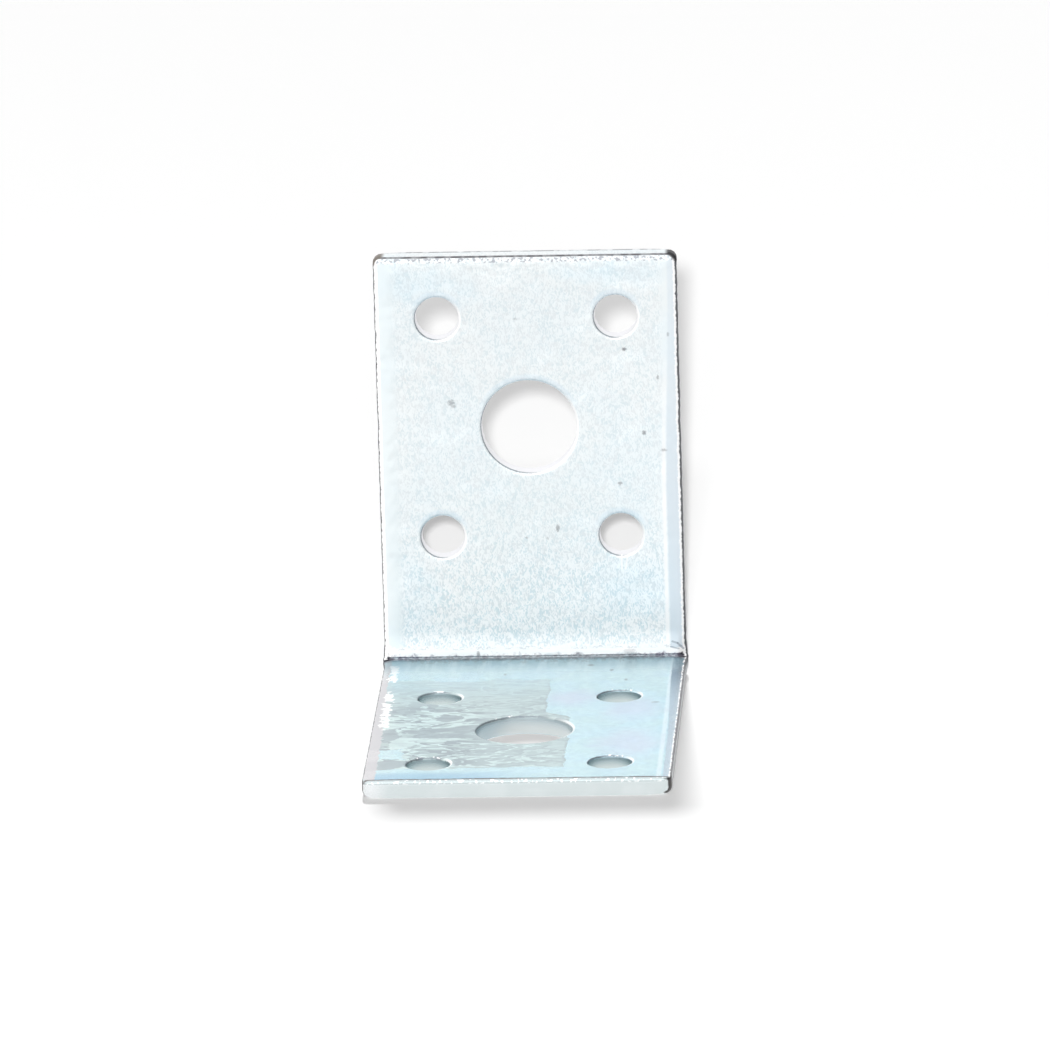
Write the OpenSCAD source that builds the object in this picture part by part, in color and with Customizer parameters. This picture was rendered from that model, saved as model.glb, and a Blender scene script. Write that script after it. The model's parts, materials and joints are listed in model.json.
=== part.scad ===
/* [Bracket] */
// Width of the flat strip that the bracket is folded from
strip_w = 35; // [34:0.5:45]
// Thickness of the sheet
sheet_t = 2.2; // [1.8:0.1:3]
// Height of the upright leg, from the underside of the base leg
upright_l = 50.5; // [46:0.5:70]
// Length of the base leg, from the back of the upright leg
base_l = 50.2; // [46:0.5:70]

/* [Bend] */
// Inside radius of the fold
bend_r = 0.5; // [0.3:0.1:2]
// How far the squeezed metal swells out at each end of the fold
swell_out = 0.25; // [0.1:0.05:0.5]
// Distance over which each swelling dies away
swell_reach = 1.9; // [1.2:0.1:2.5]

/* [Holes] */
// Diameter of the bolt hole in the middle of each leg
bolt_hole_d = 11; // [8:0.5:13]
// Diameter of the four screw holes round it
screw_hole_d = 5; // [3:0.5:6]
// Distance between the screw holes across the leg
screw_gap_across = 20.6; // [19:0.2:23]
// Distance between the screw holes along the leg
screw_gap_along = 26.1; // [24:0.1:28]
// Distance from the top of the upright leg to its bolt hole
upright_hole_at = 20.5; // [18:0.1:22]
// Distance from the front of the base leg to its bolt hole
base_hole_at = 19.4; // [18:0.1:22]
// Radius that the punch pulls round the rim of each hole
rim_r = 0.3; // [0.1:0.05:0.5]

/* [Edges] */
// Radius of the four corners of the flat strip, seen from above
corner_r = 0.9; // [0.3:0.1:2.5]
// Width of the dip that the shear leaves along the sides, on the inner face
side_dip_w = 2; // [1:0.1:3]
// Depth of that dip at the side
side_dip_h = 0.15; // [0.05:0.01:0.3]
// Radius of the sides at the outer face
side_heel_r = 0.8; // [0.2:0.1:1.1]
// Width of the dip along the two ends, on the inner face
end_dip_w = 1.2; // [0.6:0.1:2]
// Depth of that dip at the end
end_dip_h = 0.12; // [0.05:0.01:0.3]
// Radius of the ends at the outer face
end_heel_r = 0.25; // [0.1:0.05:1]
// Radius between the dips and the cut edges
nose_r = 0.35; // [0.1:0.05:0.6]

/* [Hidden] */
$fn = 96;
// How far a cutting shape reaches past the metal
over = 1;
// A rounding crosses its two faces here, just short of touching them, as a share of its radius
crossing = 0.985;
// Back of the upright leg and the line where the fold meets the two legs
back_y = base_l / 2;
fold_r = bend_r + sheet_t;
fold_y = back_y - fold_r;
// The ball that shapes each swelling: its radius, and how far its centre lies from the outer faces
ball_r = (swell_reach * swell_reach + swell_out * swell_out) / (2 * swell_out);
ball_in = 0.7 * sheet_t;
// Width of a strip that is wide enough to hold both swellings
swollen_w = strip_w + 4 * swell_out;

// What rounding with radius r takes off a square corner at [0, 0] whose metal lies at x < 0, y < 0
module corner_waste(r) {
  difference() {
    translate([-r, -r]) square([r + over, r + over]);
    translate([-r * crossing, -r * crossing]) circle(r);
  }
}

// What a cut edge has lost: the sheet lies at x < 0, its outer face at y = 0 and its inner face at y = sheet_t
module edge_waste(dip_w, dip_h, heel_r) {
  dip_r = (dip_w * dip_w + dip_h * dip_h) / (2 * dip_h);
  difference() {
    translate([-dip_w, sheet_t - dip_h]) square([dip_w + over, dip_h + over]);
    translate([-dip_w, sheet_t - dip_r]) circle(dip_r);
  }
  translate([0, sheet_t - dip_h]) corner_waste(nose_r);
  mirror([0, 1]) corner_waste(heel_r);
}

// Cross-section of the strip, w wide, with its outer face on the x axis
module strip_section(w) {
  difference() {
    translate([-w / 2, 0]) square([w, sheet_t]);
    for (side = [0, 1])
      mirror([side, 0]) translate([w / 2, 0]) edge_waste(side_dip_w, side_dip_h, side_heel_r);
  }
}

// A straight run of strip, l long towards -Y, with its inner face up
module straight_strip(w, l) {
  rotate([90, 0, 0]) linear_extrude(l) strip_section(w);
}

// The quarter turn of strip between the two legs
module folded_strip(w) {
  translate([0, fold_y, fold_r]) rotate([-90, 0, 90]) rotate_extrude(angle = 90)
    translate([fold_r, 0]) rotate(90) strip_section(w);
}

// Put a flat leg, which runs from the fold towards -Y with its inner face up, in its place
module as_base() {
  translate([0, fold_y, 0]) children();
}

module as_upright() {
  translate([0, back_y, fold_r]) rotate([-90, 0, 180]) children();
}

// The whole strip, w wide, folded but not yet trimmed or punched
module strip(w) {
  as_base() straight_strip(w, base_l - fold_r);
  as_upright() straight_strip(w, upright_l - fold_r);
  folded_strip(w);
}

// The metal that is squeezed out sideways at the two ends of the fold
module swellings() {
  intersection() {
    strip(swollen_w);
    for (side = [-1, 1])
      translate([side * (strip_w / 2 + swell_out - ball_r), back_y - ball_in, ball_in]) sphere(ball_r);
  }
}

// What the free end of a flat leg has lost to the shear
module end_waste(l) {
  translate([0, -l, 0]) {
    rotate([90, 0, -90]) linear_extrude(strip_w + 2 * over, center = true)
      edge_waste(end_dip_w, end_dip_h, end_heel_r);
    for (side = [0, 1])
      mirror([side, 0, 0]) translate([strip_w / 2, 0, -over]) linear_extrude(sheet_t + 2 * over)
        mirror([0, 1]) corner_waste(corner_r);
  }
}

// One punched hole with its pulled-in rim, for a flat leg with its inner face up
module punched_hole(d) {
  translate([0, 0, -over]) cylinder(d = d, h = sheet_t + 2 * over);
  rotate_extrude() difference() {
    translate([0, sheet_t - rim_r]) square([d / 2 + rim_r, rim_r + over]);
    translate([d / 2 + rim_r * crossing, sheet_t - rim_r * crossing]) circle(rim_r);
  }
}

// The holes of one flat leg, l long, whose bolt hole is at hole_at from its free end
module hole_pattern(l, hole_at) {
  translate([0, hole_at - l, 0]) {
    punched_hole(bolt_hole_d);
    for (x = [-1, 1], y = [-1, 1])
      translate([x * screw_gap_across / 2, y * screw_gap_along / 2, 0]) punched_hole(screw_hole_d);
  }
}

module bracket() {
  color([0.87, 0.92, 0.94]) difference() {
    union() {
      strip(strip_w);
      swellings();
    }
    as_base() {
      end_waste(base_l - fold_r);
      hole_pattern(base_l - fold_r, base_hole_at);
    }
    as_upright() {
      end_waste(upright_l - fold_r);
      hole_pattern(upright_l - fold_r, upright_hole_at);
    }
  }
}

bracket();
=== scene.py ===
# %% [markdown]
# # An angle bracket, folded from zinc-plated strip
# The real bracket is one piece of sheet steel. A press shears a blank from a strip, punches ten holes
# in it, folds it once, and a plating bath gives it its pale blue-white zinc skin.
#
# The scene repeats those steps. It works out the flat blank as surfaces, pulls its edges and rims in
# where the shear and the punch pulled them, folds it, and then paints the zinc with nodes. A box model
# with bevels would be quicker, but it would have none of the soft edges by which one knows a pressing.

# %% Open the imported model
import json
import math

import bmesh
import bpy
import numpy as np
from mathutils import Matrix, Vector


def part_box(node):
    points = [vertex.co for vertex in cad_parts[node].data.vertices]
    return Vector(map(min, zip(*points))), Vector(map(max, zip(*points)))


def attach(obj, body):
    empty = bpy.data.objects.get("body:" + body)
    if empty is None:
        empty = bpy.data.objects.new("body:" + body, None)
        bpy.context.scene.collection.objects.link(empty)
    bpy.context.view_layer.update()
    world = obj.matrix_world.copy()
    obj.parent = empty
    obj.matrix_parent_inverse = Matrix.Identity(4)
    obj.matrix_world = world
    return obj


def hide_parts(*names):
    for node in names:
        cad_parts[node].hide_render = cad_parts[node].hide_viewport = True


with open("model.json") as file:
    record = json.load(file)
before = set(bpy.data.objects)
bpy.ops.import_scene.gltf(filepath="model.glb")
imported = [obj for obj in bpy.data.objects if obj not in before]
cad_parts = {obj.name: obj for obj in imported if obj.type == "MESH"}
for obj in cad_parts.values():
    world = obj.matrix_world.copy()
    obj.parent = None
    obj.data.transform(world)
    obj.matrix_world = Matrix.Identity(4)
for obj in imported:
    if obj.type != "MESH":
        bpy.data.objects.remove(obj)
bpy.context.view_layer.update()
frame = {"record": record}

# %% [markdown]
# ## The sizes
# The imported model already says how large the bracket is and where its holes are, so the scene reads
# them from there and writes none of them twice. All lengths below are in millimetres, because that is
# how a bracket is drawn. They become metres only when a mesh is made.

# %% Read the sizes of the bracket
MM = 0.001
mounts = {mount["name"]: mount for mount in frame["record"]["mounts"]}
low, high = (np.array(corner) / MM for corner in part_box("bracket"))
sheet_t = mounts["base_bolt_hole"]["dims"]["length_mm"]
bolt_r = mounts["base_bolt_hole"]["dims"]["r_mm"]
screw_r = mounts["base_screw_holes"]["dims"]["hole_r_mm"]
gap_across = mounts["base_screw_holes"]["dims"]["spacing_x_mm"]
gap_along = mounts["base_screw_holes"]["dims"]["spacing_y_mm"]
upright_l = high[2] - low[2]
base_l = high[1] - low[1]
back_y = high[1]
upright_hole_at = high[2] - mounts["upright_bolt_hole"]["pos_m"][2] / MM
base_hole_at = mounts["base_bolt_hole"]["pos_m"][1] / MM - low[1]
print(f"Legs {upright_l:.1f} and {base_l:.1f} mm, sheet {sheet_t} mm")

# %% [markdown]
# ## The flat blank
# A place on the blank has three coordinates: *across* it, *along* it from the top of the upright leg
# to the front of the base leg, and its *depth* in the sheet, 0 at the outer face and the sheet's
# thickness at the inner face, where the punch came from. The stretch that becomes the fold is as long
# as the middle of the sheet, which neither stretches nor shrinks.

# %% Lay out the blank
strip_w = 35.0
bend_r = 0.5
fold_r = bend_r + sheet_t
fold_start = upright_l - fold_r
fold_len = (bend_r + sheet_t / 2) * math.pi / 2
fold_end = fold_start + fold_len
fold_mid = (fold_start + fold_end) / 2
blank_l = fold_end + base_l - fold_r
hole_rows = (upright_hole_at, blank_l - base_hole_at)
holes = [(0.0, row, bolt_r) for row in hole_rows]
holes += [
    (side * gap_across / 2, row + end * gap_along / 2, screw_r)
    for row in hole_rows for side in (-1, 1) for end in (-1, 1)
]
print(f"Flat blank {strip_w} by {blank_l:.1f} mm with {len(holes)} holes")

# %% [markdown]
# A punched sheet can't be one plain grid, because of its holes. Here grid lines part the blank into
# blocks, so that each hole has a square block to itself. A block with a hole is filled by rings that
# turn from square to round, and any other block by a plain grid. The rings give each hole an even,
# round rim, which cutting a grid with a boolean would not.

# %% Rule the grid lines
grid_step = 0.36
screw_cell = 3.75
edge_band = base_hole_at - gap_along / 2 - screw_cell
bolt_cell = gap_across / 2 - screw_cell
fold_margin = 1.6
fine_step = 0.16


def ruled(knots, step_near):
    """Grid lines through every knot, spaced evenly between two knots and no wider than the step there."""
    runs = []
    for start, end in zip(knots, knots[1:]):
        count = math.ceil((end - start) / step_near((start + end) / 2))
        runs.append(np.linspace(start, end, count + 1)[:-1])
    return np.concatenate(runs + [[knots[-1]]])


def step_along(s):
    """The spacing of the lines along the blank: finer in the fold and just beside it."""
    return fine_step if fold_start - fold_margin < s < fold_end + fold_margin else grid_step


def hole_knots(middle, reach, cell):
    """Where the blocks of a row of holes begin and end, along one direction."""
    return [middle - reach - cell, middle - reach + cell, middle + reach - cell, middle + reach + cell]


across_knots = sorted([
    edge_band - strip_w / 2, strip_w / 2 - edge_band, -bolt_cell, bolt_cell,
    gap_across / 2 + screw_cell, -gap_across / 2 - screw_cell,
])
along_knots = sorted(
    [edge_band, fold_start - fold_margin, fold_start, fold_end, fold_end + fold_margin]
    + [knot for row in hole_rows for knot in hole_knots(row, gap_along / 2, screw_cell)]
    + [row + side * bolt_cell for row in hole_rows for side in (-1, 1)]
)
across = ruled(across_knots, lambda u: grid_step)
along = ruled(along_knots, step_along)
print(f"{len(across)} lines across by {len(along)} along")

# %% [markdown]
# ## The edges that the shear left
# A shear pulls the face that it meets down a little before it cuts. That leaves a shallow dip along
# the inner face, two millimetres wide on the long sides, then a small round nose, the cut itself, and
# a rounder heel at the outer face, because this strip was tumbled before it was plated.

# %% Describe the edge's profile
corner_r = 0.9
side_dip = (2.0, 0.15)
end_dip = (1.2, 0.12)
side_heel_r = 0.8
end_heel_r = 0.25
nose_r = 0.35
rim_r = 0.3


def smooth(value, start, end):
    """An even S-curve from 0 at start to 1 at end."""
    share = np.clip((value - start) / (end - start), 0, 1)
    return share * share * (3 - 2 * share)


def dip(inset, width, height):
    """How deep the face lies at this inset: an arc that is flat at width and height deep at the cut."""
    radius = (width ** 2 + height ** 2) / (2 * height)
    inward = np.clip(width - inset, 0, None)
    return radius - np.sqrt(radius ** 2 - inward ** 2)


def edge_profile(width, height, heel_r):
    """Insets and depths from the inner face round the edge to the outer face, one row for each place.

    The nose and the heel are quarter circles: inset = r - r sin(a), depth = centre + r cos(a).
    """
    width, height, heel_r = (np.asarray(v, float)[:, None] for v in (width, height, heel_r))
    quarter = np.linspace(0, math.pi / 2, 6)[None, :]
    face = edge_band * np.linspace(1, nose_r / edge_band, 15)[None, :]
    face_depth = sheet_t - dip(face, width, height)
    nose_centre = face_depth[:, -1:] - nose_r
    nose = nose_r * (1 - np.sin(quarter[:, 1:]))
    nose_depth = nose_centre + nose_r * np.cos(quarter[:, 1:])
    cut_depth = nose_centre + (heel_r - nose_centre) * np.linspace(0, 1, 5)[None, 1:-1]
    heel = heel_r * (1 - np.cos(quarter))
    heel_depth = heel_r * (1 - np.sin(quarter))
    under = heel_r + (edge_band - heel_r) * np.linspace(0, 1, 7)[None, 1:]
    ones = np.ones_like(width)
    inset = np.hstack([face * ones, nose * ones, 0 * cut_depth, heel, under])
    depth = np.hstack([face_depth, nose_depth, cut_depth, heel_depth, 0 * under])
    return inset, depth


print("Points round an edge:", edge_profile([2.0], [0.15], [0.8])[0].shape[1])

# %% [markdown]
# ## Patches of surface
# Each patch is an array of points, *rows* by *columns* by the three coordinates of the blank. The next
# cell holds the three kinds: plain blocks, punched blocks, and the one band that runs round the whole
# blank and over its edge.

# %% Work out the patches
def once_round(u, s):
    """The points round a block of grid lines, once round from its first corner."""
    first = np.stack([u[:-1], np.full(len(u) - 1, s[0])], 1)
    second = np.stack([np.full(len(s) - 1, u[-1]), s[:-1]], 1)
    third = np.stack([u[:0:-1], np.full(len(u) - 1, s[-1])], 1)
    fourth = np.stack([np.full(len(s) - 1, u[0]), s[:0:-1]], 1)
    return np.concatenate([first, second, third, fourth])


def plain_block(u, s, depth):
    """A flat grid at one depth: every line across with every line along."""
    columns, rows = np.meshgrid(u, s)
    return np.stack([columns, rows, np.full_like(rows, depth)], 2)


def punched_block(u, s, centre, radius):
    """Rings from the block's border in to the rim, down the hole's wall, and out to the border again.

    On a face, a ring's point = centre + direction * (r + share * (way to the border - r)).
    """
    border = once_round(u, s)
    way = border - centre
    reach = np.linalg.norm(way, axis=1, keepdims=True)
    direction = way / reach
    quarter = np.linspace(0, math.pi / 2, 6)[1:]
    burr_r = 0.08
    shares = np.linspace(1, 0, 8) ** 1.25
    rings = [(share, radius + rim_r, sheet_t) for share in shares]
    rings += [(0, radius + rim_r * (1 - math.sin(a)), sheet_t - rim_r * (1 - math.cos(a))) for a in quarter]
    rings += [(0, radius, depth) for depth in np.linspace(sheet_t - rim_r, burr_r, 5)[1:]]
    rings += [(share, radius + burr_r, 0.0) for share in shares[::-1]]
    points = np.empty((len(rings), len(border), 3))
    for row, (share, ring_r, depth) in enumerate(rings):
        points[row, :, :2] = centre + direction * (ring_r + share * (reach - ring_r))
        points[row, :, 2] = depth
    return points


def outline_at(distance, corner):
    """Points of the blank's rounded outline at a distance from the middle of a side, and their inward
    normals. Up to the corner arc the outline is straight; on the arc it turns by distance / radius."""
    turn = np.clip((distance - corner) / corner_r, 0, math.pi / 4)
    straight = np.minimum(distance, corner)
    return straight + corner_r * np.sin(turn), corner_r * (1 - np.cos(turn)), turn


def edge_patch(border):
    """The band round the blank. Each border point looks out to a point of the rounded outline.

    It runs straight out in the middle of a side, and further along it towards a corner, so that the
    corner's arc is shared out between the two sides that meet there. The corners keep the long sides'
    profile, and the ends take their own within two millimetres of them.
    """
    half = np.array([strip_w, blank_l]) / 2
    inner_half = half - edge_band
    place = border - [0, blank_l / 2]
    on_end = np.isclose(np.abs(place[:, 1]), inner_half[1])
    run = np.where(on_end, place[:, 0], place[:, 1])
    run_end = np.where(on_end, inner_half[0], inner_half[1])
    corner_start = np.where(on_end, half[0], half[1]) - corner_r
    spare = corner_start + corner_r * math.pi / 4 - run_end
    reach = np.abs(run) + spare * (np.abs(run) / run_end) ** np.where(on_end, 4, 12)
    forward, inward, turn = outline_at(reach, corner_start)
    sign_run = np.sign(run)
    far = np.where(on_end, half[1], half[0]) - inward
    sign_far = np.sign(np.where(on_end, place[:, 1], place[:, 0]))
    outline = np.where(on_end[:, None], np.stack([sign_run * forward, sign_far * far], 1),
                       np.stack([sign_far * far, sign_run * forward], 1))
    lean = np.where(on_end[:, None],
                    np.stack([-sign_run * np.sin(turn), -sign_far * np.cos(turn)], 1),
                    np.stack([-sign_far * np.cos(turn), -sign_run * np.sin(turn)], 1))
    ended = np.where(on_end, smooth(run_end - np.abs(run), 0.0, 2.0), 0.0)
    width = side_dip[0] + (end_dip[0] - side_dip[0]) * ended
    height = side_dip[1] + (end_dip[1] - side_dip[1]) * ended
    heel = side_heel_r + (end_heel_r - side_heel_r) * ended
    inset, depth = edge_profile(width, height, heel)
    share = (inset / edge_band)[..., None]
    straight_in = outline[:, None] + lean[:, None] * inset[..., None]
    to_border = outline[:, None] + (place - outline)[:, None] * share
    meet = smooth(inset, 0.3, 1.8)[..., None]
    flat = straight_in + (to_border - straight_in) * meet + [0, blank_l / 2]
    return np.concatenate([flat, depth[..., None]], 2).transpose(1, 0, 2)


def lines_in(lines, start, end):
    """The grid lines from one knot to another, both included."""
    return lines[(lines > start - 1e-6) & (lines < end + 1e-6)]


open_patches = []
ring_patches = [edge_patch(once_round(across, along))]
for u_start, u_end in zip(across_knots, across_knots[1:]):
    for s_start, s_end in zip(along_knots, along_knots[1:]):
        u = lines_in(across, u_start, u_end)
        s = lines_in(along, s_start, s_end)
        middle = np.array([u_start + u_end, s_start + s_end]) / 2
        punched = [hole for hole in holes if np.hypot(*(middle - hole[:2])) < 0.1]
        if punched:
            ring_patches.append(punched_block(u, s, np.array(punched[0][:2]), punched[0][2]))
        else:
            open_patches += [plain_block(u, s, sheet_t), plain_block(u, s, 0.0)]
print(f"{len(ring_patches)} closed bands and {len(open_patches)} plain blocks")

# %% [markdown]
# Neighbouring patches share the points on their common border, so joining them is a matter of finding
# equal points. Numpy's unique does that for all the points at once.

# %% Join the patches into one skin
def faces_of(rows, columns, closed):
    """The four-cornered faces of a patch, by the numbers of their points."""
    numbers = np.arange(rows * columns).reshape(rows, columns)
    if closed:
        numbers = np.hstack([numbers, numbers[:, :1]])
    round_a_cell = [numbers[:-1, :-1], numbers[:-1, 1:], numbers[1:, 1:], numbers[1:, :-1]]
    return np.stack(round_a_cell, 2).reshape(-1, 4)


points = []
faces = []
count = 0
for closed, patches in ((False, open_patches), (True, ring_patches)):
    for patch in patches:
        points.append(patch.reshape(-1, 3))
        faces.append(faces_of(*patch.shape[:2], closed) + count)
        count += len(points[-1])
points = np.concatenate(points)
faces = np.concatenate(faces)
_, kept, place_of = np.unique(np.round(points, 4), axis=0, return_index=True, return_inverse=True)
blank = points[kept]
faces = place_of.reshape(-1)[faces]
print(f"{len(blank)} points and {len(faces)} faces")

# %% [markdown]
# ## What the press did to the blank
# No pressing is quite flat. Four small things are added to the blank before it is folded: the faces
# wander by a few hundredths of a millimetre, the cut edges and the rims are ragged, the squeezed metal
# fills the inside of the fold and rises in blisters above it, and it swells out at the fold's two ends.
# Each one only moves points, so it could be a modifier, but a formula keeps the moves in step with the
# sizes above.

# %% Measure each point of the blank
def outline_inset(u, s):
    """The distance of a point in from the blank's outline, which is a rectangle with round corners."""
    from_side = strip_w / 2 - np.abs(u)
    from_end = blank_l / 2 - np.abs(s - blank_l / 2)
    in_corner = np.hypot(np.clip(corner_r - from_side, 0, None), np.clip(corner_r - from_end, 0, None))
    return np.where(in_corner > 0, corner_r - in_corner, np.minimum(from_side, from_end))


u, s, depth = blank.T
inset = outline_inset(u, s)
hole_table = np.array(holes)
off_u = u[:, None] - hole_table[:, 0]
off_s = s[:, None] - hole_table[:, 1]
from_rims = np.hypot(off_u, off_s) - hole_table[:, 2]
nearest = from_rims.argmin(axis=1)
every = np.arange(len(u))
rim = from_rims[every, nearest]
round_rim = np.arctan2(off_s[every, nearest], off_u[every, nearest])
print(f"Insets from {inset.min():.3f} to {inset.max():.2f} mm")

# %% Make the blank a little uneven
rng = np.random.default_rng(7)


def wander(u, s, length, count=9):
    """A gentle unevenness from -1 to 1: the mean of a few sine waves of about this length, each with
    its own direction and start."""
    total = np.zeros_like(u)
    for turn, start, stretch in rng.uniform([0, 0, 0.7], [math.pi, 2 * math.pi, 1.5], (count, 3)):
        total += np.sin(2 * math.pi * (u * math.cos(turn) + s * math.sin(turn)) / (length * stretch) + start)
    return total / math.sqrt(count) / 1.6


long_wave, short_wave = 0.022, 0.008
edge_roughness, rim_roughness = 0.02, 0.025
nibble_depth = 0.05
inner = smooth(depth / sheet_t, 0.5, 0.95)
uneven = long_wave * wander(u, s, 9.0) + short_wave * wander(u, s, 3.0)
beside_cut = smooth(inset, 0.0, 0.4) * (1 - smooth(inset, 1.3, 2.4))
ragged = edge_roughness * wander(u, s, 1.1) * beside_cut
ragged_rim = rim_roughness * wander(u, s, 0.9) * (1 - smooth(rim, 0.1, 0.6))
depth = depth - inner * np.abs(uneven + ragged + ragged_rim)
at_cut = 1 - smooth(strip_w / 2 - np.abs(u), 0.1, 0.8)
nibbled = np.abs(wander(u * 0, s, 2.6) + 0.6 * wander(u * 0, s, 0.9)) * at_cut
u = u - np.sign(u) * nibble_depth * nibbled
print(f"The inner face dips by up to {np.abs(uneven + ragged).max():.3f} mm")

# %% Raise the blisters above the fold, and fill its inside
blisters = [(-6.6, -0.2, 0.3, 0.5, 0.06), (1.6, -0.3, 0.5, 0.4, 0.08), (10.8, -0.1, 1.0, 0.6, 0.12)]
for at_u, above, half_u, half_s, rise in blisters:
    away = np.hypot((u - at_u) / half_u, (s - fold_start - above) / half_s)
    depth = depth + inner * rise * (1 - smooth(away, 0.2, 1.3)) * (1 + 0.3 * wander(u, s, 0.5))
fill_rise = 0.3
filled = smooth(s, fold_start - 2.7, fold_start + 0.3)
filled = filled * (1 - 0.6 * smooth(s, fold_start + 0.3, fold_start + 1.2))
filled = filled * (1 - smooth(s, fold_end - 0.6, fold_end + 1.6))
depth = depth + fill_rise * inner * filled * smooth(inset, 0.2, 1.0)
print(len(blisters), "blisters")

# %% Let the metal swell out at the ends of the fold
swell_out = 0.22
swell_reach = 1.7
near_fold = np.exp(-((s - fold_mid) / swell_reach) ** 2)
near_side = smooth(np.abs(u), strip_w / 2 - 1.5, strip_w / 2 - 0.1)
inside_more = 0.35 + 0.65 * smooth(depth / sheet_t, 0, 0.8)
u = u + np.sign(u) * swell_out * near_fold * near_side * inside_more
print(f"Widest place {2 * np.abs(u).max():.2f} mm")

# %% [markdown]
# ## The fold
# Folding turns the stretch between the legs through a right angle about a line that lies just inside
# the corner. In that stretch, along becomes an angle and depth becomes a distance from the line. The
# legs on either side stay straight. The same formula serves for all three.

# %% Fold the blank
def folded(u, s, depth):
    """The place of each point of the blank on the bracket.

    The angle a grows from 0 to 90 degrees over the fold, and the radius is r = bend_r + thickness - depth:
    y = line's y + r cos(a) - what lies past the fold, z = line's z - r sin(a) + what lies before it.
    """
    angle = np.clip((s - fold_start) / fold_len, 0, 1) * math.pi / 2
    radius = bend_r + sheet_t - depth
    before = np.clip(fold_start - s, 0, None)
    after = np.clip(s - fold_end, 0, None)
    y = back_y - fold_r + radius * np.cos(angle) - after
    z = fold_r - radius * np.sin(angle) + before
    return np.stack([u, y, z], 1)


bracket_points = folded(u, s, depth) * MM
print("Folded:", np.round(bracket_points.min(0), 4), np.round(bracket_points.max(0), 4))

# %% Put the bracket into a mesh
def keep_numbers(mesh, name, values):
    """Stores one number for each point on the mesh, for the material to read."""
    layer = mesh.attributes.new(name, "FLOAT", "POINT")
    layer.data.foreach_set("value", values.astype(np.float32))


skin = bpy.data.meshes.new("bracket_skin")
skin.from_pydata(bracket_points, [], faces.tolist())
keep_numbers(skin, "across", blank[:, 0])
keep_numbers(skin, "along", blank[:, 1])
keep_numbers(skin, "depth", blank[:, 2])
keep_numbers(skin, "inset", inset)
keep_numbers(skin, "rim", rim)
keep_numbers(skin, "rim_right", np.cos(round_rim))
keep_numbers(skin, "rim_down", np.sin(round_rim))
shell = bmesh.new()
shell.from_mesh(skin)
bmesh.ops.recalc_face_normals(shell, faces=shell.faces)
loose = sum(not edge.is_manifold for edge in shell.edges)
shell.to_mesh(skin)
shell.free()
skin.shade_smooth()
bracket = bpy.data.objects.new("folded_bracket", skin)
bpy.context.scene.collection.objects.link(bracket)
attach(bracket, "root")
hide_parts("bracket")
print(f"{2 * len(skin.polygons)} triangles, {loose} open edges")

# %% [markdown]
# ## A few helpers for materials
# A material is a small machine of nodes. Each of these helpers adds a node or two and hands back the
# output, so that a finish reads as a list of steps. An output knows which tree it stands in, so only a
# node that starts from nothing has to be told the tree.

# %% Helpers that add nodes
def add(tree, kind, sockets=None, **settings):
    """One node. Its sockets are given by name or number, each as a value or as another node's output."""
    made = tree.nodes.new(kind)
    for name, value in settings.items():
        setattr(made, name, value)
    for key, value in (sockets or {}).items():
        if isinstance(value, bpy.types.NodeSocket):
            tree.links.new(value, made.inputs[key])
        else:
            made.inputs[key].default_value = value
    return made


def tree_of(*values):
    """The node tree of the first output among the values, because an output knows where it stands."""
    return next(value.id_data for value in values if isinstance(value, bpy.types.NodeSocket))


def calc(operation, first, *others):
    """The result of one kind of sum on two numbers, or on more, taken in turn."""
    tree = tree_of(first, *others)
    for other in others or (0.0,):
        first = add(tree, "ShaderNodeMath", {0: first, 1: other}, operation=operation).outputs[0]
    return first


def plus(*numbers):
    """The sum of all the numbers."""
    return calc("ADD", *numbers)


def minus(*numbers):
    """The first number less all the others."""
    return calc("SUBTRACT", *numbers)


def times(*numbers):
    """The product of all the numbers."""
    return calc("MULTIPLY", *numbers)


def ramp(value, start, end, low=0.0, high=1.0):
    """An S-curve that takes value from low at start to high at end."""
    sockets = {"Value": value, "From Min": start, "From Max": end, "To Min": low, "To Max": high}
    made = add(tree_of(value), "ShaderNodeMapRange", sockets, interpolation_type="SMOOTHSTEP")
    return made.outputs[0]


def strip_at(value, start, end, soft):
    """1 where value lies between start and end, falling to 0 within soft outside them."""
    return times(ramp(value, start - soft, start), ramp(value, end, end + soft, 1.0, 0.0))


print("Helpers for numbers:", [helper.__name__ for helper in (calc, plus, minus, times, ramp, strip_at)])

# %% Helpers for colours and patterns
def screen_colour(red, green, blue):
    """A colour read off a screen, 0 to 255, as the linear values that a shader works in."""
    parts = np.array([red, green, blue]) / 255
    linear = np.where(parts <= 0.04045, parts / 12.92, ((parts + 0.055) / 1.055) ** 2.4)
    return (*linear.tolist(), 1.0)


def laid_over(share, under, over):
    """The colour over laid on the colour under, as thickly as share says: under + share (over - under).

    Three plain numbers stand for a colour that is read off a screen.
    """
    under, over = (screen_colour(*c) if isinstance(c, tuple) and len(c) == 3 else c for c in (under, over))
    sockets = {0: share, 6: under, 7: over}
    return add(tree_of(share, under, over), "ShaderNodeMix", sockets, data_type="RGBA").outputs[2]


def place_at(across, along, depth=0.0):
    """A place in the sheet as one vector, from its three numbers."""
    return add(tree_of(across), "ShaderNodeCombineXYZ", {0: across, 1: along, 2: depth}).outputs[0]


def noise(place, scale, detail=2.0, roughness=0.5, distortion=0.0):
    """A cloudy pattern from 0 to 1 with about `scale` blobs to a millimetre."""
    sockets = {"Vector": place, "Scale": scale, "Detail": detail, "Roughness": roughness,
               "Distortion": distortion}
    return add(tree_of(place), "ShaderNodeTexNoise", sockets).outputs[0]


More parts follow.
